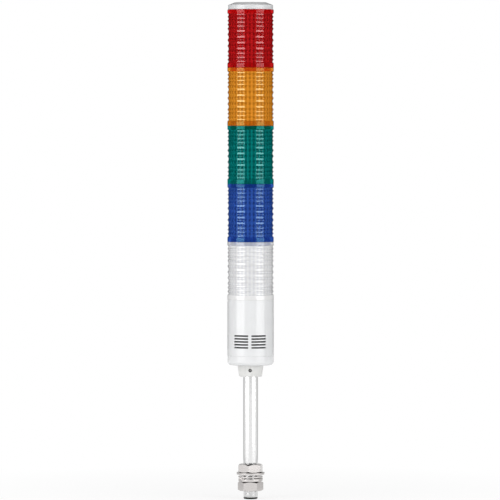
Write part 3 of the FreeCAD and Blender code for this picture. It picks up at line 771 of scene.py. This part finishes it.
def lens_finish(name, part, thick, through):
    """The moulded plastic of one part of a lens, with the share that is seen through it."""
    thin, deep, shine = lens_colours[name]
    return material(
        f"lens_{name}{part}", dye_and_highlight_pattern,
        {"Thin": colour(thin), "Thick": colour(deep if thick else thin), "Roughness": 0.05,
         "Spread": 0.03, "Grain": 500.0},
        {"IOR": 1.58, "Transmission Weight": through, "Specular IOR Level": 1.0,
         "Specular Tint": colour(shine), "Coat Weight": 0.5 if thick else 0.0, "Coat IOR": 1.8,
         "Coat Roughness": 0.04}, relief=0.004)


def lens(name):
    """One tier's lens, its ribs spaced wider in the middle than near both ends."""
    node = f"lens_{name}"
    low, high = span(node)
    base = low.z + spigot_length
    socket_floor = high.z - socket_depth
    pitch = (high.z - collar_top - base - collar_bottom) / (sum(rib_pitches) - rib_crest)
    rib = base + collar_bottom - pitch * rib_crest / 2
    ribs = []
    for share in rib_pitches:
        crest, flank = share * pitch * rib_crest / 2, share * pitch * rib_flank
        ribs.append((rib_radius, rib, rib_peak_round * share))
        ribs.append((rib_radius - rib_crown * share, rib + crest, rib_round * share))
        ribs.append((valley_radius, rib + crest + flank, valley_round))
        rib += share * pitch
        ribs.append((valley_radius, rib - crest - flank, valley_round))
        ribs.append((rib_radius - rib_crown * share, rib - crest, rib_round * share))
    flute_low, flute_high = base + flute_start, high.z - flute_stop
    bm = turned([
        (spigot_wall_inner, low.z, eased_edge),
        (spigot_radius, low.z, soft_edge),
        (spigot_radius, base),
        (high.x, base, full_edge),
        (high.x, base + collar_bottom, collar_edge),
        *ribs[2:-1],
        (high.x, high.z - collar_top, collar_edge),
        (high.x, high.z, full_edge),
        (socket_radius, high.z, broken_edge),
        (socket_radius, socket_floor),
        (lens_inner, socket_floor),
        (lens_inner, flute_high + flute_run_out),
        (lens_inner, flute_high),
        (lens_inner, flute_low),
        (lens_inner, flute_low - flute_run_out),
        (lens_inner, base),
        (spigot_wall_inner, base),
    ])
    for vert in bm.verts:
        on_wall = abs(vert.co.xy.length / mm - lens_inner) < TOUCH
        if on_wall and flute_low - TOUCH < vert.co.z / mm < flute_high + TOUCH:
            turn = math.atan2(vert.co.y, vert.co.x) / math.tau * flutes % 1
            deep = 1 - abs(2 * turn - 1)
            vert.co.xy *= 1 + flute_depth * deep / lens_inner
    finishes = [lens_finish(name, part, not part, through)
                for part, through in zip(lens_parts, lens_through[name])]
    piece = fit(bm, node, finishes[RIBBED])
    for finish in finishes[TOP_COLLAR:]:
        piece.data.materials.append(finish)
    for face in piece.data.polygons:
        radius, height = face.center.xy.length / mm, face.center.z / mm
        if height < base - NEAR:
            face.material_index = SPIGOT
        elif radius > rib_radius - NEAR and height < base + collar_bottom + collar_edge:
            face.material_index = FOOT_COLLAR
        elif radius > socket_radius - NEAR and height > high.z - collar_top - collar_edge:
            face.material_index = TOP_COLLAR


for name in tiers:
    lens(name)


# ==== Top cap ====
# Off-white moulded lid with a shallow sloped edge. It plugs into the top lens, and the tie rods
# screw into blind bosses in it, so nothing shows above.

cap_low, cap_high = span("top_cap")
cap_base = span("lens_red")[1].z
cap_side = 5.6
cap_flat = 19.0
cap_ceiling = 2.0
cap_spigot_wall = 2.0
cap_post = 5.0
cap_shoulder_edge = 0.6
fit(turned([
    (0.0, cap_low.z),
    (cap_post, cap_low.z, soft_edge),
    (cap_post, cap_base + cap_ceiling),
    (spigot_radius - cap_spigot_wall, cap_base + cap_ceiling),
    (spigot_radius - cap_spigot_wall, cap_base - spigot_length, eased_edge),
    (spigot_radius, cap_base - spigot_length, soft_edge),
    (spigot_radius, cap_base),
    (cap_high.x, cap_base, eased_edge),
    (cap_high.x, cap_base + cap_side, cap_shoulder_edge),
    (cap_flat, cap_high.z, full_edge),
    (0.0, cap_high.z),
]), "top_cap", off_white)


# ==== Studio ====
# A white sweep, lit by two tall soft boxes in front, two behind and one above. Mirrors see the
# front pair inside a black tent, and low down some grey and pale cards for the metal.

camera_turn = math.radians(2)
camera_distance = 5.0
camera_height = 0.423
view_middle = Vector((-0.0007, 0, 0.272))
view_width = 0.605
sensor_width = 36.0


def around_light(turn, distance, height):
    """A point at a turn to the right of the camera, seen from the light."""
    angle = turn + camera_turn
    return Vector((distance * math.sin(angle), -distance * math.cos(angle), height))


def look_at(thing, middle):
    """Points a camera or a lamp at a place."""
    thing.rotation_euler = (middle - thing.location).to_track_quat("-Z", "Y").to_euler()


camera_data = bpy.data.cameras.new("camera")
camera_data.sensor_width = sensor_width
camera_data.lens = sensor_width * camera_distance / view_width
camera = put("camera", camera_data)
camera.location = around_light(0, camera_distance, camera_height)
look_at(camera, view_middle)
bpy.context.scene.camera = camera

column_middle = Vector((0, 0, 0.38))


def soft_box(name, place, width, height, radiance, in_mirrors=False):
    """A flat lamp that looks at the middle of the lit column."""
    light = bpy.data.lights.new(name, "AREA")
    light.shape = "RECTANGLE"
    light.size = width
    light.size_y = height
    light.energy = radiance * math.pi * width * height
    lamp = put(name, light)
    lamp.location = place
    look_at(lamp, column_middle)
    lamp.visible_camera = False
    lamp.visible_transmission = False
    lamp.visible_glossy = in_mirrors


# Each front box's turn and width are angles in degrees, as seen from the light.
front_distance = 0.8
front_height = 0.33
back_distance = 1.2
for name, turn, width, radiance in (("left", -52, 46, 3.25), ("right", 49.5, 45.5, 2.9)):
    soft_box(f"front_box_{name}", around_light(math.radians(turn), front_distance, front_height),
             width=2 * front_distance * math.sin(math.radians(width / 2)), height=0.62,
             radiance=radiance, in_mirrors=True)
for name, turn in (("left", -140), ("right", 140)):
    place = around_light(math.radians(turn), back_distance, column_middle.z)
    soft_box(f"back_box_{name}", place, width=0.8, height=1.0, radiance=1.15)
soft_box("top_box", Vector((0, -0.2, 1.5)), width=1.0, height=1.0, radiance=1.4)


def stage_piece(bm, name, finish):
    """A piece of the studio, which is no part of the light."""
    piece = put(name, to_mesh(bm, name))
    piece.data.materials.append(finish)
    return piece


def seen_direct(tree, share=1.0):
    """1 for what mirrors and clear plastic see, the share for the camera, 0 for scattered light."""
    path = add_node(tree, "ShaderNodeLightPath").outputs
    mirror = reckon(tree, "MAXIMUM", reckon(tree, "MULTIPLY", path["Is Camera Ray"], share),
                    path["Is Glossy Ray"])
    return reckon(tree, "MAXIMUM", mirror, path["Is Transmission Ray"])


def blank_material(name):
    """A material and its empty node tree."""
    made = bpy.data.materials.new(name)
    made.use_nodes = True
    made.node_tree.nodes.clear()
    return made, made.node_tree


paint_level = 0.9
shadow_near, shadow_far = 0.03, 0.5
glow_near_pole = 0.8


def white_floor():
    """White all over: plain paint that shows the shadow near the pole, and pure white beyond."""
    made, tree = blank_material("white_floor")
    place = add_node(tree, "ShaderNodeTexCoord").outputs["Object"]
    reach = add_node(tree, "ShaderNodeVectorMath", {"operation": "LENGTH"}, i0=place)
    share = add_node(tree, "ShaderNodeMapRange",
                     {"From Min": shadow_near, "From Max": shadow_far, "To Min": glow_near_pole,
                      "To Max": 1.0}, Value=reach.outputs["Value"])
    paint = add_node(tree, "ShaderNodeBsdfDiffuse",
                     {"Color": (paint_level, paint_level, paint_level, 1.0)})
    glow = add_node(tree, "ShaderNodeEmission", {"Strength": 1.0})
    both = add_node(tree, "ShaderNodeMixShader", i0=seen_direct(tree, share.outputs[0]),
                    i1=paint.outputs[0], i2=glow.outputs[0])
    add_node(tree, "ShaderNodeOutputMaterial", Surface=both.outputs[0])
    return made


floor_reach = 30.0
floor_level = cad_box[0][2]
sheet = bmesh.new()
bmesh.ops.create_grid(sheet, x_segments=1, y_segments=1, size=floor_reach)
bmesh.ops.translate(sheet, verts=sheet.verts, vec=(0, 0, floor_level))
stage_piece(sheet, "floor", white_floor())


def plain_cloth(name, level):
    """Cloth of one even level of grey, from 0 for black to 1 for white."""
    made, tree = blank_material(name)
    glow = add_node(tree, "ShaderNodeEmission", {"Color": (level, level, level, 1.0)})
    add_node(tree, "ShaderNodeOutputMaterial", Surface=glow.outputs[0])
    return made


black_cloth = plain_cloth("black_cloth", 0.0)
grey_cloth = plain_cloth("grey_cloth", 0.6)
pale_cloth = plain_cloth("pale_cloth", 0.7)
cloth_step = 5


def hang(name, cloth, foot, head, first, last):
    """Cloth swept round the light from one turn to another, and seen only in reflections."""
    sweep = last - first
    bm = bmesh.new()
    bm.edges.new([bm.verts.new(around_light(math.radians(first), *end)) for end in (foot, head)])
    wind(bm, math.radians(sweep), round(sweep / cloth_step), joined=sweep == 360)
    piece = stage_piece(bm, name, cloth)
    piece.visible_camera = False
    piece.visible_diffuse = False
    piece.visible_transmission = False
    piece.visible_shadow = False


# Each edge of a cloth is its distance from the pole's axis and its height, in metres, and its
# turns are degrees to the right of the camera.
tent_foot = 0.9, 0.095
tent_head = 0.9, 1.6
tent_peak = 0.001, 1.6
tent_neck = 0.06, 0.15
card_foot = 0.9, floor_level
back_card_foot, back_card_head = (0.05, 0.014), (0.05, 0.125)
nut_card_foot, nut_card_head = (0.12, floor_level), (0.12, 0.012)
hang("tent_wall", black_cloth, tent_foot, tent_head, -180, 180)
hang("tent_roof", black_cloth, tent_head, tent_peak, -180, 180)
hang("tent_floor", black_cloth, tent_foot, tent_neck, -180, 180)
hang("back_card", grey_cloth, back_card_foot, back_card_head, 100, 260)
hang("left_card", grey_cloth, card_foot, tent_foot, -172, -116)
hang("right_card", grey_cloth, card_foot, tent_foot, 104, 172)
hang("left_nut_card", pale_cloth, nut_card_foot, nut_card_head, -150, -85)
hang("right_nut_card", pale_cloth, nut_card_foot, nut_card_head, 85, 150)

world = bpy.data.worlds.new("white_room")
world.use_nodes = True
room = world.node_tree
fill_level = 0.32
backdrop = room.nodes["Background"]
room.links.new(reckon(room, "MAXIMUM", seen_direct(room), fill_level),
               backdrop.inputs["Strength"])
backdrop.inputs["Color"].default_value = (1, 1, 1, 1)
bpy.context.scene.world = world

bpy.context.scene.view_settings.view_transform = "Standard"
